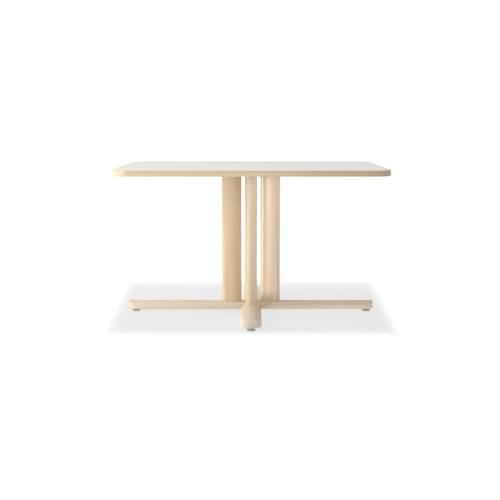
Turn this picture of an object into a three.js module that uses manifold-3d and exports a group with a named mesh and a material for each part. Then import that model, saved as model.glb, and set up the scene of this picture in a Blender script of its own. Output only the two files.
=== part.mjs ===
// A table on a cross foot: a laminated top with a solid wood lipping stands on four oval wooden columns,
// each on its own round-ended wooden foot with a screw glide. Millimetres, +Z up, +X to the right of
// somebody seated at the front, front edge towards -Y. The origin is on the floor under the table's centre.
import * as THREE from 'three';
import { mergeVertices } from 'three/addons/utils/BufferGeometryUtils.js';
import Module from 'manifold-3d';

const wasm = await Module();
wasm.setup();

// Driving dimensions
const TABLE_HEIGHT = 745;
const TOP_LENGTH = 1300;
const TOP_DEPTH = 1000;
const TOP_THICKNESS = 28;
const CORNER_RADIUS = 80;
const LIPPING_WIDTH = 12;
const LIPPING_ARRIS = 3;
const LAMINATE_THICKNESS = 0.9;
const GAP = 0.3;

const FOOT_WIDTH = 100;
const FOOT_UNDERSIDE = 17;
const FOOT_SIDE_HEIGHT = 17;
const FOOT_CROWN_RISE = 22;
const FOOT_BOTTOM_ROUND = 4;
const SIDE_REACH = 625;
const FRONT_REACH = 537;

const COLUMN_LENGTH = 98;
const COLUMN_THICKNESS = 59;
const COLUMN_CENTRE = 98;
const COLUMN_SEAT_DEPTH = 9;
const COLUMN_BOLT_SPREAD = 22;

const PLATE_THICKNESS = 5;
const TOP_PLATE_WIDTH = 60;
const TOP_PLATE_SIDE_REACH = 300;
const TOP_PLATE_FRONT_REACH = 250;
const BASE_PLATE_WIDTH = 50;
const BASE_PLATE_REACH = 160;

const BOLT_RADIUS = 4;
const BOLT_HEAD_RADIUS = 7;
const BOLT_HEAD_HEIGHT = 4;
const BOLT_HEAD_CHAMFER = 2;
const BOLT_DEPTH_IN_COLUMN = 60;
const SCREW_RADIUS = 3;
const SCREW_HEAD_RADIUS = 6;
const SCREW_DEPTH_IN_COLUMN = 55;
const TOP_SCREW_RADIUS = 2.5;
const TOP_SCREW_HEAD_RADIUS = 5;
const TOP_SCREW_HEAD_HEIGHT = 3;
const TOP_SCREW_HEAD_CHAMFER = 1.5;
const TOP_SCREW_DEPTH = 18;
const TOP_SCREW_PITCH = 50;
const TOP_SCREW_END_INSET = 25;
const HOLE_CLEARANCE = 0.3;

const GLIDE_INSET = 34;
const GLIDE_PAD_RADIUS = 21;
const GLIDE_PAD_HEIGHT = 10;
const GLIDE_PAD_ROUND = 3;
const GLIDE_SOCKET_FLOOR = 3;
const STEM_RADIUS = 4;
const STEM_TOP = 38;
const STEM_HEX_RADIUS = 7.5;
const STEM_HEX_HEIGHT = 4.5;
const INSERT_RADIUS = 6;
const INSERT_LENGTH = 15;
const STEM_HOLE_TOP = 42;

// Steps round a large circle, round a bolt, along a quarter bend, along a small rounding, round a crown's circle
const WIDE_SEGMENTS = 32;
const BOLT_SEGMENTS = 12;
const ARC_STEPS = 12;
const ROUND_STEPS = 3;
const CROWN_SEGMENTS = 72;
const HEXAGON_SIDES = 6;

// Heights and places worked out from them
const FOOT_TOP = FOOT_UNDERSIDE + FOOT_SIDE_HEIGHT + FOOT_CROWN_RISE;
const TOP_UNDERSIDE = TABLE_HEIGHT - TOP_THICKNESS;
const COLUMN_SEAT = FOOT_TOP - COLUMN_SEAT_DEPTH;
const COLUMN_BOTTOM = COLUMN_SEAT + GAP;
const BOLT_TOP = COLUMN_BOTTOM + BOLT_DEPTH_IN_COLUMN;
const TOP_PLATE_TOP = TOP_UNDERSIDE - GAP;
const TOP_PLATE_UNDERSIDE = TOP_PLATE_TOP - PLATE_THICKNESS;
const COLUMN_TOP = TOP_PLATE_UNDERSIDE - GAP;
const SCREW_BOTTOM = COLUMN_TOP - SCREW_DEPTH_IN_COLUMN;
const BASE_PLATE_UNDERSIDE = FOOT_UNDERSIDE + GAP;
const BASE_PLATE_TOP = BASE_PLATE_UNDERSIDE + PLATE_THICKNESS;
// The half-round inner ends of neighbouring feet just clear each other.
const INNER_END_CENTRE = (FOOT_WIDTH + 2 * GAP) / Math.SQRT2;
const BOLT_PLACES = [COLUMN_CENTRE - COLUMN_BOLT_SPREAD, COLUMN_CENTRE + COLUMN_BOLT_SPREAD];

const ARMS = [
  { side: 'right', turn: 0, reach: SIDE_REACH, plateReach: TOP_PLATE_SIDE_REACH },
  { side: 'rear', turn: Math.PI / 2, reach: FRONT_REACH, plateReach: TOP_PLATE_FRONT_REACH },
  { side: 'left', turn: Math.PI, reach: SIDE_REACH, plateReach: TOP_PLATE_SIDE_REACH },
  { side: 'front', turn: -Math.PI / 2, reach: FRONT_REACH, plateReach: TOP_PLATE_FRONT_REACH },
];

const wood = new THREE.MeshStandardMaterial({ color: 0xd9bd92, roughness: 0.45, metalness: 0 });
const laminate = new THREE.MeshStandardMaterial({ color: 0xe6e5df, roughness: 0.5, metalness: 0 });
const board = new THREE.MeshStandardMaterial({ color: 0xb49a72, roughness: 0.85, metalness: 0 });
const steel = new THREE.MeshStandardMaterial({ color: 0x4a4b4d, roughness: 0.5, metalness: 0.6 });
const zinc = new THREE.MeshStandardMaterial({ color: 0xa9abac, roughness: 0.35, metalness: 0.9 });
const plastic = new THREE.MeshStandardMaterial({ color: 0x9c958f, roughness: 0.6, metalness: 0 });

const table = new THREE.Group();

function piece(name, geometry, material, parent = table) {
  const mesh = new THREE.Mesh(geometry, material);
  mesh.name = name;
  parent.add(mesh);
  return mesh;
}

// Joins and cuts
function solid(geometry) {
  const bare = geometry.clone();
  bare.deleteAttribute('normal');
  bare.deleteAttribute('uv');
  const merged = mergeVertices(bare, 1e-4);
  return new wasm.Manifold(new wasm.Mesh({
    numProp: 3,
    vertProperties: new Float32Array(merged.attributes.position.array),
    triVerts: new Uint32Array(merged.index.array),
  }));
}

function geometryOf(made) {
  const mesh = made.getMesh();
  const geometry = new THREE.BufferGeometry();
  geometry.setAttribute('position', new THREE.BufferAttribute(mesh.vertProperties, 3));
  geometry.setIndex(new THREE.BufferAttribute(mesh.triVerts, 1));
  geometry.computeVertexNormals();
  return geometry;
}

function cut(geometry, cutters) {
  const made = cutters.reduce((left, cutter) => left.subtract(solid(cutter)), solid(geometry));
  return geometryOf(made);
}

function overlapOf(first, second) {
  return geometryOf(solid(first).intersect(solid(second)));
}

function join(first, second) {
  return geometryOf(solid(first).add(solid(second)));
}

function hullOf(first, second) {
  return geometryOf(wasm.Manifold.hull([solid(first), solid(second)]));
}

// Basic forms
function upright(radius, bottom, top, x = 0, y = 0, segments = BOLT_SEGMENTS) {
  const geometry = new THREE.CylinderGeometry(radius, radius, top - bottom, segments);
  return geometry.rotateX(Math.PI / 2).translate(x, y, (bottom + top) / 2);
}

function box(low, high) {
  const size = high.map((value, axis) => value - low[axis]);
  const middle = high.map((value, axis) => (value + low[axis]) / 2);
  return new THREE.BoxGeometry(...size).translate(...middle);
}

function slab(shape, bottom, top, curveSegments = ARC_STEPS) {
  const geometry = new THREE.ExtrudeGeometry(shape, {
    depth: top - bottom, bevelEnabled: false, curveSegments,
  });
  return geometry.translate(0, 0, bottom);
}

// A turned piece about +Z from [radius, height] points listed upwards
function turned(profile, segments = BOLT_SEGMENTS) {
  const points = profile.map(([radius, height]) => new THREE.Vector2(radius, height));
  return new THREE.LatheGeometry(points, segments).rotateX(Math.PI / 2);
}

function stadium(from, to, width) {
  const radius = width / 2;
  const shape = new THREE.Shape();
  shape.absarc(to - radius, 0, radius, -Math.PI / 2, Math.PI / 2);
  shape.absarc(from + radius, 0, radius, Math.PI / 2, 1.5 * Math.PI);
  return shape;
}

function roundedRectangle(length, depth, radius) {
  const x = length / 2 - radius;
  const y = depth / 2 - radius;
  const shape = new THREE.Shape();
  shape.absarc(x, -y, radius, -Math.PI / 2, 0);
  shape.absarc(x, y, radius, 0, Math.PI / 2);
  shape.absarc(-x, y, radius, Math.PI / 2, Math.PI);
  shape.absarc(-x, -y, radius, Math.PI, 1.5 * Math.PI);
  return shape;
}

// Where the top plate's arms are screwed to the top, as points on the table's plan
function topScrewPlaces() {
  return ARMS.flatMap(({ turn, plateReach }) => [0, 1].map((step) => {
    const reach = plateReach - TOP_SCREW_END_INSET - step * TOP_SCREW_PITCH;
    return { x: reach * Math.cos(turn), y: reach * Math.sin(turn) };
  }));
}

function topScrewHoles(bottom, top) {
  const radius = TOP_SCREW_RADIUS + HOLE_CLEARANCE;
  return topScrewPlaces().map(({ x, y }) => upright(radius, bottom, top, x, y, ARC_STEPS));
}

// Table top: core board between two laminates, inside a solid wood lipping
function tabletop() {
  const inset = 2 * (LIPPING_WIDTH + GAP);
  const panel = roundedRectangle(
    TOP_LENGTH - inset, TOP_DEPTH - inset, CORNER_RADIUS - LIPPING_WIDTH - GAP,
  );
  const coreTop = TABLE_HEIGHT - LAMINATE_THICKNESS - GAP;
  const coreBottom = TOP_UNDERSIDE + LAMINATE_THICKNESS + GAP;
  const holeTop = TOP_UNDERSIDE + TOP_SCREW_DEPTH + GAP;
  piece('laminate_face', slab(panel, coreTop + GAP, TABLE_HEIGHT), laminate);
  piece('core_board', cut(slab(panel, coreBottom, coreTop), topScrewHoles(0, holeTop)), board);
  const backing = slab(panel, TOP_UNDERSIDE, TOP_UNDERSIDE + LAMINATE_THICKNESS);
  piece('backing_laminate', cut(backing, topScrewHoles(0, TABLE_HEIGHT)), laminate);
}

// The lipping's section: x is outwards from its inner face, y is height. Its two outer arrises are rounded.
function lippingSection(inner) {
  const outer = inner + LIPPING_WIDTH;
  const round = LIPPING_ARRIS;
  const section = new THREE.Shape();
  section.moveTo(inner, TOP_UNDERSIDE);
  section.absarc(outer - round, TOP_UNDERSIDE + round, round, -Math.PI / 2, 0);
  section.absarc(outer - round, TABLE_HEIGHT - round, round, 0, Math.PI / 2);
  section.lineTo(inner, TABLE_HEIGHT);
  return section;
}

function lippingStrip(length) {
  const section = lippingSection(-LIPPING_WIDTH);
  const geometry = new THREE.ExtrudeGeometry(section, {
    depth: length, bevelEnabled: false, curveSegments: ROUND_STEPS,
  });
  return geometry.translate(0, 0, -length / 2).rotateX(Math.PI / 2);
}

// One quarter of a ring with the lipping's section, centred on its corner's own centre
function lippingCorner() {
  const points = lippingSection(CORNER_RADIUS - LIPPING_WIDTH).extractPoints(ROUND_STEPS).shape;
  const ring = new THREE.LatheGeometry([...points, points[0]], 4 * ARC_STEPS).rotateX(Math.PI / 2);
  const reach = CORNER_RADIUS + GAP;
  return overlapOf(ring, box([0, 0, 0], [reach, reach, TABLE_HEIGHT + GAP]));
}

function lipping() {
  const straightX = TOP_LENGTH - 2 * CORNER_RADIUS - 2 * GAP;
  const straightY = TOP_DEPTH - 2 * CORNER_RADIUS - 2 * GAP;
  const strips = [
    { side: 'right', turn: 0, length: straightY, away: TOP_LENGTH / 2 },
    { side: 'rear', turn: Math.PI / 2, length: straightX, away: TOP_DEPTH / 2 },
    { side: 'left', turn: Math.PI, length: straightY, away: TOP_LENGTH / 2 },
    { side: 'front', turn: -Math.PI / 2, length: straightX, away: TOP_DEPTH / 2 },
  ];
  for (const { side, turn, length, away } of strips) {
    const strip = piece(`lipping_${side}`, lippingStrip(length), wood);
    strip.rotation.z = turn;
    strip.position.set(away * Math.cos(turn), away * Math.sin(turn), 0);
  }
  const x = TOP_LENGTH / 2 - CORNER_RADIUS;
  const y = TOP_DEPTH / 2 - CORNER_RADIUS;
  const corners = [
    { where: 'rear_right', turn: 0, at: [x, y] },
    { where: 'rear_left', turn: Math.PI / 2, at: [-x, y] },
    { where: 'front_left', turn: Math.PI, at: [-x, -y] },
    { where: 'front_right', turn: -Math.PI / 2, at: [x, -y] },
  ];
  for (const { where, turn, at } of corners) {
    const corner = piece(`lipping_corner_${where}`, lippingCorner(), wood);
    corner.rotation.z = turn;
    corner.position.set(...at, 0);
  }
}

// Steel plates: a cross of two flat bars, under the top and let into the feet
function crossPlate(sideReach, frontReach, width, bottom, top, holes) {
  const long = slab(stadium(-sideReach, sideReach, width), bottom, top);
  const short = slab(stadium(-frontReach, frontReach, width), bottom, top).rotateZ(Math.PI / 2);
  return cut(join(long, short), holes);
}

function columnFixingHoles(radius, bottom, top) {
  return ARMS.flatMap(({ turn }) => BOLT_PLACES.map((place) => (
    upright(radius, bottom, top, place * Math.cos(turn), place * Math.sin(turn))
  )));
}

function plates() {
  const sinks = ARMS.flatMap(({ turn }) => BOLT_PLACES.map((place) => (
    countersink().translate(place * Math.cos(turn), place * Math.sin(turn), 0)
  )));
  const topHoles = [...topScrewHoles(0, TABLE_HEIGHT), ...sinks];
  piece('top_plate', crossPlate(
    TOP_PLATE_SIDE_REACH, TOP_PLATE_FRONT_REACH, TOP_PLATE_WIDTH,
    TOP_PLATE_UNDERSIDE, TOP_PLATE_TOP, topHoles,
  ), steel);
  const baseHoles = columnFixingHoles(BOLT_RADIUS + HOLE_CLEARANCE, 0, FOOT_TOP);
  piece('base_plate', crossPlate(
    BASE_PLATE_REACH, BASE_PLATE_REACH, BASE_PLATE_WIDTH,
    BASE_PLATE_UNDERSIDE, BASE_PLATE_TOP, baseHoles,
  ), steel);
}

// One round end of a foot, turned about the end's own centre: upright, and eased into the underside
function footEnd() {
  const half = FOOT_WIDTH / 2;
  const round = FOOT_BOTTOM_ROUND;
  const ease = new THREE.EllipseCurve(
    half - round, FOOT_UNDERSIDE + round, round, round, -Math.PI / 2, 0,
  ).getPoints(ROUND_STEPS).map((at) => [at.x, at.y]);
  const top = FOOT_TOP + GAP;
  return turned([[0, FOOT_UNDERSIDE], ...ease, [half, top], [0, top]], WIDE_SEGMENTS);
}

// The wide cylinder along +X that a foot's crown is an arc of
function crownCylinder(length) {
  const half = FOOT_WIDTH / 2;
  const radius = (half ** 2 + FOOT_CROWN_RISE ** 2) / (2 * FOOT_CROWN_RISE);
  const geometry = new THREE.CylinderGeometry(radius, radius, length, CROWN_SEGMENTS);
  return geometry.rotateZ(Math.PI / 2).translate(length / 2, 0, FOOT_TOP - radius);
}

function oval(clearance) {
  const curve = new THREE.EllipseCurve(
    COLUMN_CENTRE, 0, COLUMN_LENGTH / 2 + clearance, COLUMN_THICKNESS / 2 + clearance,
  );
  return new THREE.Shape(curve.getPoints(WIDE_SEGMENTS).slice(0, WIDE_SEGMENTS));
}

// Foot: a crowned bar whose ends are cut upright and half-round, with a flat seat sunk in its top for the column
function foot(reach) {
  const outline = hullOf(
    footEnd().translate(INNER_END_CENTRE, 0, 0),
    footEnd().translate(reach - FOOT_WIDTH / 2, 0, 0),
  );
  const bar = overlapOf(outline, crownCylinder(reach + FOOT_WIDTH));
  const seat = slab(oval(GAP), COLUMN_SEAT, FOOT_TOP + GAP);
  const recess = slab(
    stadium(-BASE_PLATE_REACH - GAP, BASE_PLATE_REACH + GAP, BASE_PLATE_WIDTH + 2 * GAP),
    0, BASE_PLATE_TOP + GAP,
  );
  const boltHoles = BOLT_PLACES.map((place) => (
    upright(BOLT_RADIUS + HOLE_CLEARANCE, 0, FOOT_TOP + GAP, place)
  ));
  const insertTop = FOOT_UNDERSIDE + INSERT_LENGTH + 2 * GAP;
  const insertHole = upright(INSERT_RADIUS + HOLE_CLEARANCE, 0, insertTop, reach - GLIDE_INSET);
  const stemHole = upright(STEM_RADIUS + HOLE_CLEARANCE, 0, STEM_HOLE_TOP, reach - GLIDE_INSET);
  return cut(bar, [seat, recess, ...boltHoles, insertHole, stemHole]);
}

// Column: an upright of oval section, drilled at both ends for its bolts and screws
function column() {
  const holes = BOLT_PLACES.flatMap((place) => [
    upright(BOLT_RADIUS + HOLE_CLEARANCE, 0, BOLT_TOP + GAP, place),
    upright(SCREW_RADIUS + HOLE_CLEARANCE, SCREW_BOTTOM - GAP, TABLE_HEIGHT, place),
  ]);
  return cut(slab(oval(0), COLUMN_BOTTOM, COLUMN_TOP), holes);
}

// Bolt from under the foot, through the base plate and the foot, into the column
function columnBolt() {
  const headBottom = FOOT_UNDERSIDE - BOLT_HEAD_HEIGHT;
  return turned([
    [0, headBottom],
    [BOLT_HEAD_RADIUS - BOLT_HEAD_CHAMFER, headBottom],
    [BOLT_HEAD_RADIUS, headBottom + BOLT_HEAD_CHAMFER],
    [BOLT_HEAD_RADIUS, FOOT_UNDERSIDE],
    [BOLT_RADIUS, FOOT_UNDERSIDE],
    [BOLT_RADIUS, BOLT_TOP],
    [0, BOLT_TOP],
  ]);
}

// The countersunk hole that a column screw needs right through the top plate
function countersink() {
  const taper = SCREW_HEAD_RADIUS - SCREW_RADIUS;
  return turned([
    [0, TOP_PLATE_UNDERSIDE - GAP],
    [SCREW_RADIUS + HOLE_CLEARANCE, TOP_PLATE_UNDERSIDE - GAP],
    [SCREW_RADIUS + HOLE_CLEARANCE, TOP_PLATE_TOP - taper],
    [SCREW_HEAD_RADIUS + HOLE_CLEARANCE, TOP_PLATE_TOP],
    [SCREW_HEAD_RADIUS + HOLE_CLEARANCE, TOP_PLATE_TOP + GAP],
    [0, TOP_PLATE_TOP + GAP],
  ]);
}

// Countersunk screw from above the top plate, down into the column's end grain
function columnScrew() {
  return turned([
    [0, SCREW_BOTTOM],
    [SCREW_RADIUS, SCREW_BOTTOM + SCREW_RADIUS],
    [SCREW_RADIUS, TOP_PLATE_TOP - (SCREW_HEAD_RADIUS - SCREW_RADIUS)],
    [SCREW_HEAD_RADIUS, TOP_PLATE_TOP],
    [0, TOP_PLATE_TOP],
  ]);
}

// Pan-head screw from below the top plate, up into the core board
function topScrew() {
  const headTop = TOP_PLATE_UNDERSIDE - GAP;
  const headBottom = headTop - TOP_SCREW_HEAD_HEIGHT;
  const tip = TOP_UNDERSIDE + TOP_SCREW_DEPTH;
  return turned([
    [0, headBottom],
    [TOP_SCREW_HEAD_RADIUS - TOP_SCREW_HEAD_CHAMFER, headBottom],
    [TOP_SCREW_HEAD_RADIUS, headBottom + TOP_SCREW_HEAD_CHAMFER],
    [TOP_SCREW_HEAD_RADIUS, headTop],
    [TOP_SCREW_RADIUS, headTop],
    [TOP_SCREW_RADIUS, tip - TOP_SCREW_RADIUS],
    [0, tip],
  ]);
}

// Glide: a round pad on the floor, a screw stem with a hexagon that turns in it, and its nut in the foot
function glidePad() {
  const round = GLIDE_PAD_ROUND;
  const arc = Array.from({ length: ROUND_STEPS + 1 }, (_, step) => {
    const angle = (Math.PI / 2) * (1 - step / ROUND_STEPS);
    return [GLIDE_PAD_RADIUS - round + round * Math.cos(angle), round - round * Math.sin(angle)];
  });
  const socket = STEM_RADIUS + HOLE_CLEARANCE;
  return turned([
    [0, 0],
    ...arc,
    [GLIDE_PAD_RADIUS, GLIDE_PAD_HEIGHT - 2 * round],
    [GLIDE_PAD_RADIUS - round, GLIDE_PAD_HEIGHT],
    [socket, GLIDE_PAD_HEIGHT],
    [socket, GLIDE_SOCKET_FLOOR],
    [0, GLIDE_SOCKET_FLOOR],
  ], WIDE_SEGMENTS);
}

function glideStem() {
  const rod = upright(STEM_RADIUS, GLIDE_SOCKET_FLOOR + GAP, STEM_TOP);
  const hexBottom = GLIDE_PAD_HEIGHT + GAP;
  const hexagon = upright(STEM_HEX_RADIUS, hexBottom, hexBottom + STEM_HEX_HEIGHT, 0, 0, HEXAGON_SIDES);
  return join(rod, hexagon);
}

function insertNut() {
  const bottom = FOOT_UNDERSIDE + GAP;
  const sleeve = upright(INSERT_RADIUS, bottom, bottom + INSERT_LENGTH);
  return cut(sleeve, [upright(STEM_RADIUS + HOLE_CLEARANCE, 0, TABLE_HEIGHT)]);
}

function arm({ side, turn, reach, plateReach }) {
  const group = new THREE.Group();
  group.rotation.z = turn;
  table.add(group);
  piece(`foot_${side}`, foot(reach), wood, group);
  piece(`column_${side}`, column(), wood, group);
  BOLT_PLACES.forEach((place, index) => {
    piece(`column_bolt_${side}_${index + 1}`, columnBolt(), zinc, group).position.x = place;
    piece(`column_screw_${side}_${index + 1}`, columnScrew(), zinc, group).position.x = place;
    const screw = piece(`top_screw_${side}_${index + 1}`, topScrew(), zinc, group);
    screw.position.x = plateReach - TOP_SCREW_END_INSET - index * TOP_SCREW_PITCH;
  });
  piece(`glide_pad_${side}`, glidePad(), plastic, group).position.x = reach - GLIDE_INSET;
  piece(`glide_stem_${side}`, glideStem(), zinc, group).position.x = reach - GLIDE_INSET;
  piece(`insert_nut_${side}`, insertNut(), zinc, group).position.x = reach - GLIDE_INSET;
}

tabletop();
lipping();
plates();
ARMS.forEach(arm);

export default table;
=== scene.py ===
"""Looks of the cross-foot table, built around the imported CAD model.

Lengths are in metres, +Z is up, and the front edge faces -Y.
"""

import math
import random

import bmesh
import bpy
from mathutils import Matrix, Vector


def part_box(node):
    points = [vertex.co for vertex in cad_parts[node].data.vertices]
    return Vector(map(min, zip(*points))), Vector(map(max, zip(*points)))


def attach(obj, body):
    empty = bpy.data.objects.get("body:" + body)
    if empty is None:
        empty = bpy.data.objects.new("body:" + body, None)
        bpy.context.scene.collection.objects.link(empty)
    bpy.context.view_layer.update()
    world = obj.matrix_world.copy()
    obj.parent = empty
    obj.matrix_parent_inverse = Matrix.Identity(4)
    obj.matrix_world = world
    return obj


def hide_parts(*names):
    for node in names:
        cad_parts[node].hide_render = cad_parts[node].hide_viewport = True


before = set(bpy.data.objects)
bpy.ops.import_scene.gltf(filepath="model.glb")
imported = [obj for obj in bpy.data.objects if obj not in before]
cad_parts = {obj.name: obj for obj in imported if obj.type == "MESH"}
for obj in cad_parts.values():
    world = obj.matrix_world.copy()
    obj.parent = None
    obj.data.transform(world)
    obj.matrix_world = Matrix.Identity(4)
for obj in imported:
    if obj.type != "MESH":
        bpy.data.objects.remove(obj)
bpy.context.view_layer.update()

MM = 0.001
SIDES = ("right", "rear", "left", "front")
ROOT_BODY = "table_frame"
RANDOM_SEED = 11
dice = random.Random(RANDOM_SEED)


# ---------------------------------------------------------------- sizes taken from the frame
def low(node):
    return Vector(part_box(node)[0])


def high(node):
    return Vector(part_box(node)[1])


def middle(node):
    return (low(node) + high(node)) / 2


def reach_of(node, side):
    """How far a node reaches from the middle of the table towards one side."""
    box_low, box_high = low(node), high(node)
    return {"right": box_high.x, "rear": box_high.y, "left": -box_low.x, "front": -box_low.y}[side]


FOOT_BOTTOM = low("foot_right").z
FOOT_TOP = high("foot_right").z
FOOT_RADIUS = (high("foot_right").y - low("foot_right").y) / 2
FOOT_INNER_END = low("foot_right").x
COLUMN_CENTRE = middle("column_right").x
COLUMN_HALF_LENGTH = (high("column_right").x - low("column_right").x) / 2
COLUMN_HALF_THICKNESS = (high("column_right").y - low("column_right").y) / 2
COLUMN_BOTTOM = low("column_right").z
COLUMN_TOP = high("column_right").z
LIPPING_BOTTOM = low("lipping_front").z
LIPPING_TOP = high("lipping_front").z
LIPPING_WIDTH = high("lipping_front").y - low("lipping_front").y
CORNER_RADIUS = high("lipping_corner_rear_right").x - low("lipping_corner_rear_right").x
BASE_PLATE_TOP = high("base_plate").z
BASE_PLATE_REACH = high("base_plate").x

# Each side's turn about Z from the right-hand one, and each corner's from the rear right one.
TURNS = {
    "right": 0.0,
    "rear": math.pi / 2,
    "left": math.pi,
    "front": -math.pi / 2,
}
CORNER_TURNS = {
    "rear_right": 0.0,
    "rear_left": math.pi / 2,
    "front_left": math.pi,
    "front_right": -math.pi / 2,
}

# ---------------------------------------------------------------- sizes that no node's box gives
# Where a foot's upright side meets its crown.
FOOT_SIDE_TOP = FOOT_BOTTOM + 17 * MM
FOOT_EDGE_ROUND = 1.5 * MM
FOOT_BOTTOM_ROUND = 4 * MM
COLUMN_EASE = 0.8 * MM
# Radius of the rounded outer edges of the lipping.
ARRIS = 3 * MM
LIPPING_EASE = 0.3 * MM
BASE_PLATE_WIDTH = 50 * MM
BOLT_HOLE = 4.3 * MM
SCREW_HOLE = 3.3 * MM
INSERT_HOLE = 6.3 * MM
CLEARANCE = 0.3 * MM
# How far a cutter passes the surface that it goes through.
OVERCUT = 10 * MM


# ---------------------------------------------------------------- node helpers
class Tree:
    """Builds the nodes of a material or a world with short calls."""

    def __init__(self, owner, surface):
        owner.use_nodes = True
        self.owner = owner
        self.nodes = owner.node_tree.nodes
        self.links = owner.node_tree.links
        self.surface = self.nodes[surface]

    def add(self, kind, inputs=None, **settings):
        node = self.nodes.new(kind)
        for key, value in settings.items():
            setattr(node, key, value)
        for key, value in (inputs or {}).items():
            self.feed(node.inputs[key], value)
        return node

    def feed(self, socket, value):
        if isinstance(value, bpy.types.NodeSocket):
            self.links.new(value, socket)
        else:
            socket.default_value = value

    def shade(self, **inputs):
        for key, value in inputs.items():
            self.feed(self.surface.inputs[key.replace("_", " ")], value)

    def place(self):
        """Where a point lies in its object."""
        return self.add("ShaderNodeTexCoord").outputs["Object"]

    def axes(self, vector):
        """A vector's parts, by their names X, Y and Z."""
        return self.add("ShaderNodeSeparateXYZ", {"Vector": vector}).outputs

    def noise(self, vector, scale, detail=3.0, roughness=0.5):
        inputs = {"Vector": vector, "Scale": scale, "Detail": detail, "Roughness": roughness}
        return self.add("ShaderNodeTexNoise", inputs).outputs["Fac"]

    def vector(self, operation, inputs):
        return self.add("ShaderNodeVectorMath", inputs, operation=operation).outputs["Vector"]

    def scaled(self, vector, factors):
        return self.vector("MULTIPLY", {0: vector, 1: factors})

    def math(self, operation, first, second=0.0, third=0.0):
        inputs = {0: first, 1: second, 2: third}
        return self.add("ShaderNodeMath", inputs, operation=operation).outputs["Value"]

    def spread(self, value, from_low, from_high, to_low, to_high, easing="LINEAR"):
        inputs = {
            "Value": value,
            "From Min": from_low,
            "From Max": from_high,
            "To Min": to_low,
            "To Max": to_high,
        }
        return self.add("ShaderNodeMapRange", inputs, interpolation_type=easing).outputs["Result"]

    def mix(self, factor, first, second):
        # On this node, inputs 6 and 7 are the two colours, and output 2 is the mixed one.
        inputs = {0: factor, 6: first, 7: second}
        return self.add("ShaderNodeMix", inputs, data_type="RGBA").outputs[2]

    def bump(self, height, strength, distance):
        inputs = {"Height": height, "Strength": strength, "Distance": distance}
        return self.add("ShaderNodeBump", inputs).outputs["Normal"]


def material_tree(name):
    return Tree(bpy.data.materials.new(name), "Principled BSDF")


def colour(red, green, blue):
    """A colour given in sRGB, 0 to 255, as the linear values that a socket takes."""
    def linear(value):
        value /= 255
        return value / 12.92 if value <= 0.04045 else ((value + 0.055) / 1.055) ** 2.4
    return (linear(red), linear(green), linear(blue), 1.0)


def darker(tint, share):
    """A linear colour with only a share of its light left."""
    return (*[channel * share for channel in tint[:3]], 1.0)


# ---------------------------------------------------------------- wood
PITH_DISTANCE = 0.085
RINGS_PER_METRE = 380.0
RING_WAVER = 3.0
STAVE_WIDTH = 0.033
STAVE_CONTRAST = 0.30
# Wider than the lipping is high, so that each strip of it has one tone.
LIPPING_STAVE_WIDTH = 0.40
LIPPING_STAVE_CONTRAST = 0.10


def bent_grain(tree, grain):
    """The grain's place, shifted a little by a slow noise, so that bands and rings don't run straight."""
    drift = tree.add("ShaderNodeTexNoise", {"Vector": tree.scaled(grain, (1.6, 9.0, 9.0)), "Scale": 1.0})
    shift = tree.vector("SCALE", {0: drift.outputs["Color"], 3: 0.03})
    return tree.vector("ADD", {0: grain, 1: shift})


def late_wood(tree, bent, bands):
    """The dark part of each growth ring, about a pith that lies outside the board."""
    across = tree.axes(bent)
    off_pith = tree.math("ADD", across["Z"], PITH_DISTANCE)
    squares = tree.math("ADD", tree.math("POWER", across["Y"], 2.0), tree.math("POWER", off_pith, 2.0))
    waver = tree.math("MULTIPLY", bands, RING_WAVER)
    turns = tree.math("MULTIPLY_ADD", tree.math("SQRT", squares), RINGS_PER_METRE, waver)
    return tree.math("POWER", tree.math("FRACT", turns), 3.0)


def stave_tone(tree, grain, width):
    """A tone of its own, 0 to 1, for each of the staves that are glued side by side."""
    stave = tree.math("FLOOR", tree.math("DIVIDE", tree.axes(grain)["Y"], width))
    return tree.add("ShaderNodeTexWhiteNoise", {"W": stave}, noise_dimensions="1D").outputs["Value"]


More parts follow.
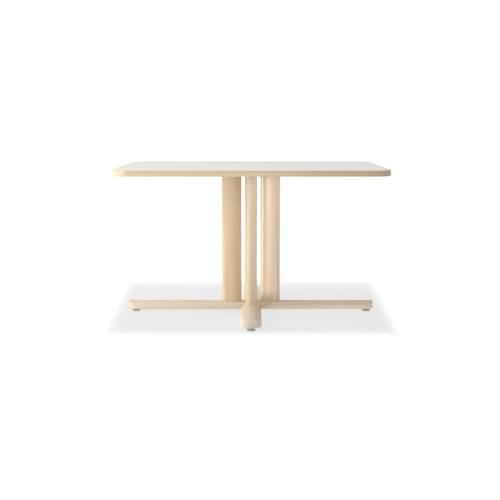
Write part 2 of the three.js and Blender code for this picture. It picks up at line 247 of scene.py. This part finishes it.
def birch(name, pale, dark, stave_width=STAVE_WIDTH, stave_contrast=STAVE_CONTRAST):
    """Lacquered birch. The attribute 'grain' is in metres: x along the fibres, y and z across them.

    The attribute 'depth', where a mesh has it, runs from 0 for the usual tone to 1 for the deepest: on the
    feet it is the deeper tone of end grain, and on the lipping it is painted shade.
    """
    tree = material_tree(name)
    grain = tree.add("ShaderNodeAttribute", attribute_name="grain").outputs["Vector"]
    depth = tree.add("ShaderNodeAttribute", attribute_name="depth").outputs["Fac"]
    bent = bent_grain(tree, grain)
    # Each noise is far finer across the fibres than along them, which draws it out into streaks.
    bands = tree.noise(tree.scaled(bent, (1.2, 34.0, 34.0)), 1.0, 4.0, 0.55)
    fibres = tree.noise(tree.scaled(grain, (22.0, 1500.0, 1500.0)), 1.0, 2.0, 0.6)
    pores = tree.noise(tree.scaled(grain, (150.0, 2600.0, 2600.0)), 1.0, 1.0, 0.5)
    pore_marks = tree.spread(pores, 0.66, 0.76, 0.0, 1.0)
    tone = stave_tone(tree, grain, stave_width)
    # How strongly each layer shows, then how much of the dark tone's light it leaves.
    layers = (
        (tree.math("MULTIPLY", late_wood(tree, bent, bands), 0.16), 0.72),
        (tree.spread(tone, 0.0, 1.0, 0.0, stave_contrast), 0.86),
        (tree.spread(fibres, 0.35, 0.75, 0.0, 0.20), 0.78),
        (tree.math("MULTIPLY", pore_marks, 0.30), 0.45),
        # Painted shade on the lipping and the deeper tone of end grain on the feet, both from 'depth'.
        (tree.math("MULTIPLY", tree.math("POWER", depth, 2.0), 0.36), 0.05),
    )
    base = tree.mix(tree.spread(bands, 0.3, 0.72, 0.0, 1.0), pale, dark)
    for strength, share in layers:
        base = tree.mix(strength, base, darker(dark, share))
    height = tree.math("ADD", tree.math("MULTIPLY", fibres, 0.7), tree.math("MULTIPLY", pore_marks, -0.6))
    roughness = tree.spread(tree.math("ADD", bands, fibres), 0.6, 1.5, 0.36, 0.50)
    tree.shade(Base_Color=base, Roughness=roughness, Normal=tree.bump(height, 0.25, 0.06 * MM))
    tree.shade(Coat_Weight=0.18, Coat_Roughness=0.32, Specular_IOR_Level=0.4)
    return tree.owner


def particle_board(name):
    """Coarse flat chips with wood dust between them."""
    tree = material_tree(name)
    place = tree.place()
    chip_sizes = tree.scaled(place, (260.0, 420.0, 700.0))
    chips = tree.add("ShaderNodeTexVoronoi", {"Vector": chip_sizes, "Scale": 1.0})
    dust = tree.noise(place, 900.0, 3.0, 0.6)
    base = tree.mix(chips.outputs["Color"], colour(150, 122, 84), colour(196, 168, 124))
    base = tree.mix(tree.spread(dust, 0.4, 0.7, 0.0, 0.5), base, colour(120, 94, 62))
    tree.shade(Base_Color=base, Roughness=0.85, Normal=tree.bump(chips.outputs["Distance"], 0.5, 0.3 * MM))
    return tree.owner


# ---------------------------------------------------------------- laminate, metal and plastic
def laminate(name, tint, speckle):
    """High-pressure laminate: a plain warm white sheet with a fine pearled surface."""
    tree = material_tree(name)
    place = tree.place()
    cloud = tree.noise(place, 3.5, 3.0, 0.5)
    grit = tree.noise(place, 1400.0, 2.0, 0.6)
    base = tree.mix(tree.spread(cloud, 0.3, 0.7, 0.0, 0.5), tint, speckle)
    base = tree.mix(tree.spread(grit, 0.45, 0.75, 0.0, 0.35), base, darker(speckle, 0.90))
    pearl = tree.add("ShaderNodeTexVoronoi", {"Vector": place, "Scale": 620.0}, feature="SMOOTH_F1")
    wiped = tree.noise(tree.scaled(place, (2.0, 9.0, 2.0)), 1.0, 4.0, 0.6)
    sheen = tree.math("ADD", wiped, tree.math("MULTIPLY", grit, 0.3))
    height = tree.math("ADD", pearl.outputs["Distance"], tree.math("MULTIPLY", grit, 0.4))
    tree.shade(Base_Color=base, Roughness=tree.spread(sheen, 0.4, 0.9, 0.40, 0.50))
    tree.shade(Normal=tree.bump(height, 0.12, 0.08 * MM))
    return tree.owner


def powder_coat(name):
    """Dark grey coating with a fine orange peel and a few pale scuffs."""
    tree = material_tree(name)
    place = tree.place()
    peel = tree.noise(place, 900.0, 2.0, 0.5)
    smear = tree.noise(place, 16.0, 4.0, 0.6)
    scratches = tree.noise(tree.scaled(place, (40.0, 400.0, 60.0)), 1.0, 3.0, 0.7)
    scuff = tree.spread(scratches, 0.66, 0.78, 0.0, 1.0)
    base = tree.mix(tree.spread(smear, 0.3, 0.7, 0.0, 1.0), colour(44, 44, 46), colour(58, 58, 60))
    base = tree.mix(tree.math("MULTIPLY", scuff, 0.35), base, colour(112, 112, 114))
    roughness = tree.spread(tree.math("ADD", smear, scuff), 0.3, 1.4, 0.42, 0.66)
    tree.shade(Base_Color=base, Roughness=roughness, Normal=tree.bump(peel, 0.35, 0.12 * MM))
    return tree.owner


def zinc(name):
    """Zinc plate: small bright patches over fine turning marks."""
    tree = material_tree(name)
    place = tree.place()
    patches = tree.add("ShaderNodeTexVoronoi", {"Vector": place, "Scale": 700.0}).outputs["Color"]
    turning = tree.noise(tree.scaled(place, (300.0, 300.0, 5200.0)), 1.0, 2.0, 0.5)
    base = tree.mix(patches, colour(176, 178, 180), colour(206, 207, 205))
    base = tree.mix(tree.spread(turning, 0.4, 0.7, 0.0, 0.4), base, colour(140, 141, 142))
    roughness = tree.spread(turning, 0.3, 0.7, 0.24, 0.42)
    tree.shade(Base_Color=base, Roughness=roughness, Normal=tree.bump(turning, 0.2, 0.04 * MM))
    tree.shade(Metallic=1.0)
    return tree.owner


def moulded_plastic(name):
    """Grey plastic with spark-eroded grain, scuffed where it is near the floor."""
    tree = material_tree(name)
    place = tree.place()
    spark = tree.noise(place, 2400.0, 2.0, 0.6)
    wear = tree.noise(place, 90.0, 4.0, 0.65)
    near_floor = tree.spread(tree.axes(place)["Z"], 0.0, 4 * MM, 1.0, 0.0)
    scuffs = tree.math("MULTIPLY", near_floor, tree.spread(wear, 0.45, 0.62, 0.0, 1.0))
    base = tree.mix(tree.spread(wear, 0.3, 0.7, 0.0, 1.0), colour(196, 193, 188), colour(208, 204, 199))
    base = tree.mix(tree.math("MULTIPLY", scuffs, 0.5), base, colour(160, 156, 150))
    roughness = tree.spread(tree.math("ADD", spark, scuffs), 0.3, 1.4, 0.46, 0.78)
    tree.shade(Base_Color=base, Roughness=roughness, Normal=tree.bump(spark, 0.3, 0.06 * MM))
    return tree.owner


column_birch = birch("column_birch", colour(231, 214, 182), colour(214, 188, 147))
# Painted paler, as painted light for the right-hand column.
painted_light_column_birch = birch("painted_light_column_birch", colour(231, 216, 192), colour(214, 190, 157))
foot_birch = birch("foot_birch", colour(237, 225, 207), colour(220, 201, 173))
lipping_birch = birch(
    "lipping_birch", colour(227, 210, 178), colour(209, 183, 143),
    LIPPING_STAVE_WIDTH, LIPPING_STAVE_CONTRAST,
)
face_laminate = laminate("face_laminate", colour(212, 210, 205), colour(206, 204, 197))
back_laminate = laminate("back_laminate", colour(214, 212, 206), colour(206, 203, 196))
chipboard = particle_board("chipboard")
coated_steel = powder_coat("coated_steel")
zinc_plate = zinc("zinc_plate")
glide_plastic = moulded_plastic("glide_plastic")


# ---------------------------------------------------------------- outlines
def arc(start, end, steps, first=0):
    """Angles from start to end in equal steps, from the step numbered first on."""
    return [start + (end - start) * step / steps for step in range(first, steps + 1)]


def stadium_ring(inner, outer, radius, inset, height):
    """A ring of a round-ended bar's outline, drawn in by inset. The height may be a function of y."""
    steps, straight = 32, 12
    reach = radius - inset
    near, far = inner + radius, outer - radius
    plan = []
    for angle in arc(-math.pi / 2, math.pi / 2, steps):
        plan.append((far + reach * math.cos(angle), reach * math.sin(angle)))
    for step in range(1, straight):
        plan.append((far + (near - far) * step / straight, reach))
    for angle in arc(math.pi / 2, 3 * math.pi / 2, steps):
        plan.append((near + reach * math.cos(angle), reach * math.sin(angle)))
    for step in range(1, straight):
        plan.append((near + (far - near) * step / straight, -reach))
    return [(x, y, height(y) if callable(height) else height) for x, y in plan]


def oval_ring(half_length, half_thickness, z):
    """A ring round the right-hand column's axis."""
    steps = 96
    ring = []
    for step in range(steps):
        angle = 2 * math.pi * step / steps
        ring.append((COLUMN_CENTRE + half_length * math.cos(angle), half_thickness * math.sin(angle), z))
    return ring


def hexagon(across_flats):
    """Radius of a hexagon at an angle."""
    apothem = across_flats / 2
    return lambda angle: apothem / math.cos((angle % (math.pi / 3)) - math.pi / 6)


def six_lobes(radius):
    """Radius of a six-lobed recess at an angle."""
    swell = 0.13
    return lambda angle: radius * (1 + swell * math.cos(6 * angle))


def clipped(shape, limit):
    """A shape's radius at an angle, with its corners turned down to a limit."""
    return lambda angle: min(shape(angle), limit)


# ---------------------------------------------------------------- mesh helpers
def added(name, data):
    """A new object in the scene."""
    item = bpy.data.objects.new(name, data)
    bpy.context.scene.collection.objects.link(item)
    return item


def lofted(name, rings):
    """A closed skin over rings of equal point counts, each anticlockwise as seen from the last one."""
    maker = bmesh.new()
    grid = [[maker.verts.new(point) for point in ring] for ring in rings]
    count = len(rings[0])
    for lower, upper in zip(grid, grid[1:]):
        for index in range(count):
            after = (index + 1) % count
            maker.faces.new((lower[index], lower[after], upper[after], upper[index]))
    maker.faces.new(list(reversed(grid[0])))
    maker.faces.new(grid[-1])
    bmesh.ops.recalc_face_normals(maker, faces=maker.faces)
    mesh = bpy.data.meshes.new(name)
    maker.to_mesh(mesh)
    maker.free()
    return added(name, mesh)


def turned(name, profile, segments):
    """A body of revolution about Z from (radius, height) points. A radius may be a function of angle."""
    rings = []
    for radius, height in profile:
        ring = []
        for step in range(segments):
            angle = 2 * math.pi * step / segments
            reach = radius(angle) if callable(radius) else radius
            ring.append((reach * math.cos(angle), reach * math.sin(angle), height))
        rings.append(ring)
    return lofted(name, rings)


def moved(piece, matrix):
    piece.data.transform(matrix)
    return piece


def cylinder_cutter(radius, bottom, top, x):
    cutter = turned("cutter", [(radius, bottom), (radius, top)], segments=32)
    return moved(cutter, Matrix.Translation((x, 0, 0)))


def bored(piece, cutters):
    """Cuts each cutter out of the piece, exactly, and throws the cutters away."""
    for cutter in cutters:
        cut = piece.modifiers.new("cut", "BOOLEAN")
        cut.operation = "DIFFERENCE"
        cut.solver = "EXACT"
        cut.object = cutter
    evaluated = piece.evaluated_get(bpy.context.evaluated_depsgraph_get())
    mesh = bpy.data.meshes.new_from_object(evaluated)
    piece.modifiers.clear()
    piece.data = mesh
    for cutter in cutters:
        bpy.data.objects.remove(cutter)


def smoothed(piece):
    """Smooth shading with creases kept, and normals that follow the large faces."""
    crease = math.radians(34)
    piece.data.shade_smooth()
    piece.data.set_sharp_from_angle(angle=crease)
    weighted = piece.modifiers.new("normals", "WEIGHTED_NORMAL")
    weighted.keep_sharp = True
    weighted.mode = "FACE_AREA"


def finished(piece, material, body, node):
    """Gives a piece its material, and puts it on its body in place of a CAD node."""
    smoothed(piece)
    piece.data.materials.clear()
    piece.data.materials.append(material)
    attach(piece, body)
    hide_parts(node)


def finished_on_axis(piece, material, body, node):
    """Finishes a piece that was turned about Z, on the axis of the node that it stands for."""
    centre = middle(node)
    moved(piece, Matrix.Translation((centre.x, centre.y, 0)))
    finished(piece, material, body, node)


# ---------------------------------------------------------------- grain of the wooden pieces
def place_in_log():
    """A random place in the log, along its fibres and across them, so that no two pieces are alike."""
    return Vector((dice.uniform(0, 9), dice.uniform(-0.03, 0.03), dice.uniform(-0.02, 0.02)))


def write_vectors(piece, name, vector_at):
    attribute = piece.data.attributes.new(name, "FLOAT_VECTOR", "POINT")
    for index, vertex in enumerate(piece.data.vertices):
        attribute.data[index].vector = vector_at(vertex)


def write_values(piece, name, value_at):
    attribute = piece.data.attributes.new(name, "FLOAT", "POINT")
    for index, vertex in enumerate(piece.data.vertices):
        attribute.data[index].value = value_at(vertex)


def grained(piece, along, across):
    """Writes the 'grain' attribute of a straight piece: metres along the fibres and across them."""
    start = place_in_log()
    third = along.cross(across)

    def grain_at(vertex):
        return start + Vector((vertex.co.dot(along), vertex.co.dot(across), vertex.co.dot(third)))

    write_vectors(piece, "grain", grain_at)


def grained_round(piece, centre, turn):
    """Writes the 'grain' attribute of a bent corner, whose fibres follow the bend."""
    start = place_in_log()

    def grain_at(vertex):
        arm = vertex.co - centre
        swing = (math.atan2(arm.y, arm.x) - turn) % (2 * math.pi)
        if swing > math.pi:
            swing -= 2 * math.pi
        return start + Vector((swing * CORNER_RADIUS, vertex.co.z, math.hypot(arm.x, arm.y)))

    write_vectors(piece, "grain", grain_at)


def end_grained(piece, along):
    """Wood cut across its fibres is deeper in tone than wood cut along them."""
    deepest = 0.65
    write_values(piece, "depth", lambda vertex: deepest * abs(vertex.normal.dot(along)))


def painted_shade_towards_corner(piece):
    """Painted shade: the lipping's tone deepens towards the right-hand front corner, where less light falls
    on it.
    """
    half_length, half_width = high("lipping_right").x, high("lipping_rear").y

    def painted_shade_at(vertex):
        rightwards = 0.5 + vertex.co.x / (2 * half_length)
        forwards = 0.5 - vertex.co.y / (2 * half_width)
        return rightwards * forwards

    write_values(piece, "depth", painted_shade_at)


# ---------------------------------------------------------------- wooden pieces
def fixing_places():
    """Where the two bolts and the two screws of the right-hand column stand along X."""
    return [middle(f"column_bolt_right_{index}").x for index in (1, 2)]


def crown_height(y):
    """Height of a foot's top at the distance y from its middle line: an arc across the foot."""
    rise = FOOT_TOP - FOOT_SIDE_TOP
    radius = (FOOT_RADIUS ** 2 + rise ** 2) / (2 * rise)
    return FOOT_TOP - radius + math.sqrt(radius ** 2 - y ** 2)


def foot_rings(reach):
    """A foot's rings, from the underside up the upright side, over an eased edge and over the crown."""
    def ring(inset, height):
        return stadium_ring(FOOT_INNER_END, reach, FOOT_RADIUS, inset, height)

    def lowered(drop):
        return lambda y: crown_height(y) - drop

    bottom, edge = FOOT_BOTTOM_ROUND, FOOT_EDGE_ROUND
    round_steps, crown_steps = 6, 20
    # The last ring is almost a line, which closes the crown along its middle.
    last_inset = FOOT_RADIUS - 0.4 * MM
    rings = []
    for angle in arc(0, math.pi / 2, round_steps):
        rings.append(ring(bottom * (1 - math.sin(angle)), FOOT_BOTTOM + bottom * (1 - math.cos(angle))))
    for angle in arc(0, math.pi / 2, round_steps):
        rings.append(ring(edge * (1 - math.cos(angle)), lowered(edge * (1 - math.sin(angle)))))
    for step in range(1, crown_steps + 1):
        rings.append(ring(edge + (last_inset - edge) * step / crown_steps, crown_height))
    return rings


def plate_recess():
    """The cutter for the base plate's arm, in a foot's underside."""
    half = BASE_PLATE_WIDTH / 2 + CLEARANCE
    end = BASE_PLATE_REACH + CLEARANCE
    return lofted("cutter", [
        stadium_ring(-end, end, half, 0, 0.0),
        stadium_ring(-end, end, half, 0, BASE_PLATE_TOP + CLEARANCE),
    ])


def column_seat():
    """The cutter for the column's flat seat, in a foot's crown."""
    half_length = COLUMN_HALF_LENGTH + CLEARANCE
    half_thickness = COLUMN_HALF_THICKNESS + CLEARANCE
    return lofted("cutter", [
        oval_ring(half_length, half_thickness, COLUMN_BOTTOM - CLEARANCE),
        oval_ring(half_length, half_thickness, FOOT_TOP + CLEARANCE),
    ])


def foot_holes(reach):
    """The cutters for the column's two bolts, the insert nut and the glide's stem."""
    glide_x = middle("glide_pad_right").x + reach - reach_of("foot_right", "right")
    insert_hole_top = high("insert_nut_right").z + CLEARANCE
    # The stem's hole starts inside the insert nut's and ends well above the stem.
    stem_hole_bottom = 10 * MM
    stem_hole_top = high("glide_stem_right").z + 4 * MM
    holes = [cylinder_cutter(BOLT_HOLE, 0.0, FOOT_TOP + OVERCUT, x) for x in fixing_places()]
    holes.append(cylinder_cutter(INSERT_HOLE, 0.0, insert_hole_top, glide_x))
    holes.append(cylinder_cutter(BOLT_HOLE, stem_hole_bottom, stem_hole_top, glide_x))
    return holes


def foot(side):
    """A crowned, round-ended foot with its recess, its seat and its holes."""
    node = f"foot_{side}"
    reach = reach_of(node, side)
    piece = lofted(f"birch_{node}", foot_rings(reach))
    bored(piece, [plate_recess(), column_seat(), *foot_holes(reach)])
    turn = Matrix.Rotation(TURNS[side], 4, "Z")
    along, across = turn @ Vector((1, 0, 0)), turn @ Vector((0, 1, 0))
    moved(piece, turn)
    grained(piece, along, across)
    end_grained(piece, along)
    finished(piece, foot_birch, ROOT_BODY, node)


def column(side):
    """An oval column with blind holes for its bolts and screws."""
    node = f"column_{side}"
    length, thickness, ease = COLUMN_HALF_LENGTH, COLUMN_HALF_THICKNESS, COLUMN_EASE
    piece = lofted(f"birch_{node}", [
        oval_ring(length - ease, thickness - ease, COLUMN_BOTTOM),
        oval_ring(length, thickness, COLUMN_BOTTOM + ease),
        oval_ring(length, thickness, COLUMN_TOP - ease),
        oval_ring(length - ease, thickness - ease, COLUMN_TOP),
    ])
    bolt_end = high("column_bolt_right_1").z + CLEARANCE
    screw_end = low("column_screw_right_1").z - CLEARANCE
    cutters = [cylinder_cutter(BOLT_HOLE, 0.0, bolt_end, x) for x in fixing_places()]
    cutters += [cylinder_cutter(SCREW_HOLE, screw_end, COLUMN_TOP + OVERCUT, x) for x in fixing_places()]
    bored(piece, cutters)
    turn = Matrix.Rotation(TURNS[side], 4, "Z")
    moved(piece, turn)
    grained(piece, Vector((0, 0, 1)), turn @ Vector((1, 0, 0)))
    # The right-hand column's birch is painted paler: painted light, standing in for light that the front
    # column keeps from it.
    material = painted_light_column_birch if side == "right" else column_birch
    finished(piece, material, ROOT_BODY, node)


def lipping_section():
    """(outwards, up) points of the lipping's section, measured from its inner face and underside."""
    height = LIPPING_TOP - LIPPING_BOTTOM
    steps = 6
    ease = LIPPING_EASE
    flat = LIPPING_WIDTH - ARRIS
    points = [(ease, 0.0)]
    for angle in arc(-math.pi / 2, 0, steps):
        points.append((flat + ARRIS * math.cos(angle), ARRIS + ARRIS * math.sin(angle)))
    for angle in arc(0, math.pi / 2, steps):
        points.append((flat + ARRIS * math.cos(angle), height - ARRIS + ARRIS * math.sin(angle)))
    points += [(ease, height), (0.0, height - ease), (0.0, ease)]
    return points


def lipping_strip(side):
    """A straight strip of lipping along one side of the top."""
    node = f"lipping_{side}"
    size = high(node) - low(node)
    length = max(size.x, size.y)
    away = reach_of(node, side) - LIPPING_WIDTH
    rings = []
    for end in (length / 2, -length / 2):
        rings.append([(away + out, end, LIPPING_BOTTOM + up) for out, up in lipping_section()])
    piece = lofted(f"birch_{node}", rings)
    turn = Matrix.Rotation(TURNS[side], 4, "Z")
    moved(piece, turn)
    grained(piece, turn @ Vector((0, 1, 0)), Vector((0, 0, 1)))
    # Painted shade, deeper towards the right-hand front corner.
    painted_shade_towards_corner(piece)
    finished(piece, lipping_birch, ROOT_BODY, node)


def lipping_corner(where):
    """A bent piece of lipping round one corner of the top."""
    node = f"lipping_corner_{where}"
    turn = CORNER_TURNS[where]
    box_low, box_high = low(node), high(node)
    outer_x = box_high.x if box_high.x > 0 else box_low.x
    outer_y = box_high.y if box_high.y > 0 else box_low.y
    centre = Vector((
        outer_x - math.copysign(CORNER_RADIUS, outer_x),
        outer_y - math.copysign(CORNER_RADIUS, outer_y),
        0,
    ))
    inner = CORNER_RADIUS - LIPPING_WIDTH
    steps = 28
    rings = []
    for step in range(steps + 1):
        angle = turn + math.pi / 2 * (1 - step / steps)
        ring = []
        for out, up in lipping_section():
            reach = inner + out
            x = centre.x + reach * math.cos(angle)
            y = centre.y + reach * math.sin(angle)
            ring.append((x, y, LIPPING_BOTTOM + up))
        rings.append(ring)
    piece = lofted(f"birch_{node}", rings)
    grained_round(piece, centre, turn)
    # Painted shade, deeper towards the right-hand front corner.
    painted_shade_towards_corner(piece)
    finished(piece, lipping_birch, ROOT_BODY, node)


# ---------------------------------------------------------------- metal and plastic pieces
def column_bolt(side, index):
    """Button-head bolt with a hexagon socket, its head under the base plate."""
    node = f"column_bolt_{side}_{index}"
    bottom, top = low(node).z, high(node).z
    radius = high(node).x - middle(node).x
    shank = 4 * MM
    head_height = 4 * MM
    dome_height = 2.6 * MM
    chamfer = 0.8 * MM
    socket = hexagon(5 * MM)
    profile = [
        (clipped(socket, 0.2 * MM), bottom + 2.4 * MM),
        (socket, bottom + 2.2 * MM),
        (socket, bottom + 0.25 * MM),
        (3.3 * MM, bottom),
    ]
    # The dome, from the socket's rim outwards.
    for angle in arc(0, math.pi / 2, 5, first=3):
        profile.append((radius * math.sin(angle), bottom + dome_height * (1 - math.cos(angle))))
    profile += [
        (radius, bottom + head_height),
        (shank, bottom + head_height),
        (shank, top - chamfer),
        (shank - chamfer, top),
    ]
    piece = turned(f"socket_bolt_{side}_{index}", profile, segments=48)
    finished_on_axis(piece, zinc_plate, ROOT_BODY, node)


def top_screw(side, index):
    """Pan-head wood screw with a six-lobed recess, its head under the top plate."""
    node = f"top_screw_{side}_{index}"
    bottom, top = low(node).z, high(node).z
    radius = high(node).x - middle(node).x
    shank = 2.5 * MM
    head_height = 3 * MM
    recess = six_lobes(2.2 * MM)
    profile = [
        (clipped(recess, 0.2 * MM), bottom + 1.9 * MM),
        (recess, bottom + 1.7 * MM),
        (recess, bottom + 0.2 * MM),
        (3.0 * MM, bottom),
        (4.1 * MM, bottom + 0.4 * MM),
        (radius - 0.2 * MM, bottom + 1.2 * MM),
        (radius, bottom + 2.0 * MM),
        (radius, bottom + head_height),
        (shank, bottom + head_height),
        (shank, top - shank),
        (0.3 * MM, top),
    ]
    piece = turned(f"pan_screw_{side}_{index}", profile, segments=48)
    finished_on_axis(piece, zinc_plate, ROOT_BODY, node)


def glide_pad(side):
    """Round moulded pad: a flat sole, a fine parting groove and a domed shoulder round the stem's socket."""
    node = f"glide_pad_{side}"
    radius = high(node).x - middle(node).x
    height = high(node).z
    sole_round = 3 * MM
    groove = 0.4 * MM
    shoulder_width, shoulder_height = 6 * MM, 3.2 * MM
    collar = 8 * MM
    socket = 4.3 * MM
    ease = 0.3 * MM
    profile = []
    for angle in arc(0, math.pi / 2, 6):
        profile.append((radius - sole_round * (1 - math.sin(angle)), sole_round * (1 - math.cos(angle))))
    # The parting groove, then the shoulder, then the collar and the stem's socket.
    profile += [
        (radius, 4.2 * MM),
        (radius - groove, 4.4 * MM),
        (radius - groove, 4.8 * MM),
        (radius, 5.0 * MM),
    ]
    for angle in arc(0, math.pi / 2, 7, first=1):
        rise = 5.6 * MM + shoulder_height * math.sin(angle)
        profile.append((radius - shoulder_width * (1 - math.cos(angle)), rise))
    profile += [
        (collar + 1 * MM, 8.9 * MM),
        (collar, 9.2 * MM),
        (collar, height - ease),
        (collar - ease, height),
        (socket + ease, height),
        (socket, height - ease),
        (socket, 3 * MM),
    ]
    piece = turned(f"moulded_{node}", profile, segments=72)
    finished_on_axis(piece, glide_plastic, node, node)


def glide_stem(side):
    """Threaded stem with a chamfered hexagon, which turns in the pad."""
    node = f"glide_stem_{side}"
    bottom, top = low(node).z, high(node).z
    pitch = 1.25 * MM
    rings_per_pitch = 6
    crest = 3.98 * MM
    depth = 0.6 * MM
    chamfer = 0.5 * MM
    collar_bottom = high(f"glide_pad_{side}").z + CLEARANCE
    collar_top = collar_bottom + 4.5 * MM
    collar_chamfer = 0.6 * MM
    flats = hexagon(13 * MM)
    collar_face = clipped(flats, 6.5 * MM)
    collar_side = clipped(flats, 7.6 * MM)

    def thread(height):
        def radius(angle):
            phase = (height / pitch - angle / (2 * math.pi)) % 1.0
            return crest - depth * abs(2 * phase - 1)
        return radius

    profile = [
        (crest - chamfer, bottom),
        (crest, bottom + chamfer),
        (crest, collar_bottom),
        (collar_face, collar_bottom),
        (collar_side, collar_bottom + collar_chamfer),
        (collar_side, collar_top - collar_chamfer),
        (collar_face, collar_top),
        (crest - depth, collar_top),
    ]
    steps = round((top - collar_top) / (pitch / rings_per_pitch))
    for step in range(1, steps):
        height = collar_top + (top - collar_top) * step / steps
        profile.append((thread(height), height))
    profile.append((crest - depth - 0.3 * MM, top))
    piece = turned(f"threaded_{node}", profile, segments=36)
    finished_on_axis(piece, zinc_plate, node, node)


# ---------------------------------------------------------------- build
def dress(material, *nodes):
    """Gives CAD nodes that stay as they are their material."""
    for node in nodes:
        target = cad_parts[node]
        target.data.materials.clear()
        target.data.materials.append(material)


def build():
    for side in SIDES:
        foot(side)
        column(side)
        lipping_strip(side)
        glide_pad(side)
        glide_stem(side)
        for index in (1, 2):
            column_bolt(side, index)
            top_screw(side, index)
            dress(zinc_plate, f"column_screw_{side}_{index}")
        dress(zinc_plate, f"insert_nut_{side}")
    for where in CORNER_TURNS:
        lipping_corner(where)
    dress(face_laminate, "laminate_face")
    dress(back_laminate, "backing_laminate")
    dress(chipboard, "core_board")
    dress(coated_steel, "top_plate", "base_plate")


# ---------------------------------------------------------------- studio
def outside_painted_shadow(tree, place):
    """0 on the painted shadow on the floor under the table and 1 beyond its soft edges."""
    spot = tree.axes(place)
    # The painted shadow's sides draw in a little towards the front, and its far edge is the softest.
    aside = tree.math("MULTIPLY_ADD", spot["Y"], -0.036, tree.math("ABSOLUTE", spot["X"]))
    beside = tree.spread(aside, 0.643, 0.745, 0.0, 1.0, "SMOOTHSTEP")
    before = tree.spread(spot["Y"], -0.460, -0.724, 0.0, 1.0, "SMOOTHSTEP")
    behind = tree.spread(spot["Y"], 0.712, 1.151, 0.0, 1.0, "SMOOTHSTEP")
    return tree.math("MAXIMUM", beside, tree.math("MAXIMUM", before, behind))


def floor():
    """A pale light table with a painted shadow: it glows less under the object, so that the shadow there is
    faint and even.
    """
    half = 40.0
    corners = [(-half, -half, 0), (half, -half, 0), (half, half, 0), (-half, half, 0)]
    mesh = bpy.data.meshes.new("floor")
    mesh.from_pydata(corners, [], [(0, 1, 2, 3)])
    ground = added("floor", mesh)
    tree = material_tree("studio_floor")
    place = tree.place()
    cloud = tree.noise(place, 2.0, 2.0, 0.5)
    base = tree.mix(cloud, (0.115, 0.115, 0.12, 1), (0.125, 0.125, 0.13, 1))
    # The glow is lower on the painted shadow under the table.
    glow = tree.spread(outside_painted_shadow(tree, place), 0.0, 1.0, 0.724, 0.97)
    tree.shade(Base_Color=base, Roughness=0.95, Specular_IOR_Level=0.05)
    tree.shade(Emission_Color=(1, 1, 1, 1), Emission_Strength=glow)
    ground.data.materials.append(tree.owner)


def area_light(name, place, aim, size, power, spread=180):
    """A rectangular light at one place, aimed at another. Power is in watts and spread in degrees."""
    data = bpy.data.lights.new(name, "AREA")
    data.shape = "RECTANGLE"
    data.size, data.size_y = size
    data.energy = power
    data.spread = math.radians(spread)
    light = added(name, data)
    light.location = place
    light.rotation_euler = (Vector(aim) - Vector(place)).to_track_quat("-Z", "Y").to_euler()


def lights():
    area_light("side_strip", (-3.27, -0.11, 0.86), aim=(0, 0, 0.4), size=(0.7, 0.7), power=7)
    area_light("high_left", (-2.90, -0.30, 1.75), aim=(0, 0, 0.4), size=(0.9, 0.9), power=26)
    area_light("near_softbox", (-1.485, -1.812, 0.96), aim=(-0.3, -0.4, 0.5), size=(0.5, 0.5), power=8.2)
    area_light("overhead", (0.0, -0.25, 5.0), aim=(0, 0.15, 0), size=(0.6, 0.6), power=60)
    # Two narrow beams reach the right-hand column past the front one.
    area_light(
        "column_beam", (-0.261, -1.447, 0.335), aim=(0.10, 0, 0.39),
        size=(0.08, 0.60), power=0.056, spread=3,
    )
    area_light(
        "gap_beam", (-1.10, -0.54, 0.335), aim=(0.066, -0.008, 0.39),
        size=(0.04, 0.60), power=0.042, spread=3,
    )


# The sky's glow is the sum of these parts, in which a direction's X, Y or Z picks the strength:
# the axis, the range along it, and the strengths at the two ends of that range.
SKY = (
    ("X", -1.0, 0.0, 0.95, 0.16),
    ("Z", 0.0, 1.0, 0.0, 0.47),
    ("Z", 0.08, 0.18, 0.84, 0.0),
    ("Y", 0.86, 0.93, 0.0, 0.75),
)


def surroundings():
    """A soft sky, brighter on the left, overhead and low down, with a white wall behind the table."""
    world = bpy.data.worlds.new("studio")
    tree = Tree(world, "Background")
    direction = tree.axes(tree.add("ShaderNodeTexCoord").outputs["Generated"])
    strength = 0.0
    for axis, *limits in SKY:
        strength = tree.math("ADD", strength, tree.spread(direction[axis], *limits))
    tree.shade(Color=(1, 1, 1, 1), Strength=strength)
    bpy.context.scene.world = world


def plain_tones():
    """Shows the lights' values as they are, with no film look."""
    view = bpy.context.scene.view_settings
    view.view_transform = "Standard"
    view.look = "None"


# ---------------------------------------------------------------- camera
# Fitted to the edges in the photograph. The dip is in radians below the horizon.
SENSOR_WIDTH = 36.0
FRAME_PIXELS = 500
FOCAL_PIXELS = 1025.7
EYE_PLACE = (-0.005, -5.1915, 0.988)
EYE_DIP = 0.13415
FRAME_SHIFT = 0.0107


def camera():
    data = bpy.data.cameras.new("camera")
    data.sensor_width = SENSOR_WIDTH
    data.lens = SENSOR_WIDTH * FOCAL_PIXELS / FRAME_PIXELS
    data.shift_y = FRAME_SHIFT
    eye = added("camera", data)
    eye.location = EYE_PLACE
    eye.rotation_euler = (math.pi / 2 - EYE_DIP, 0.0, 0.0)
    bpy.context.scene.camera = eye


build()
floor()
surroundings()
lights()
plain_tones()
camera()
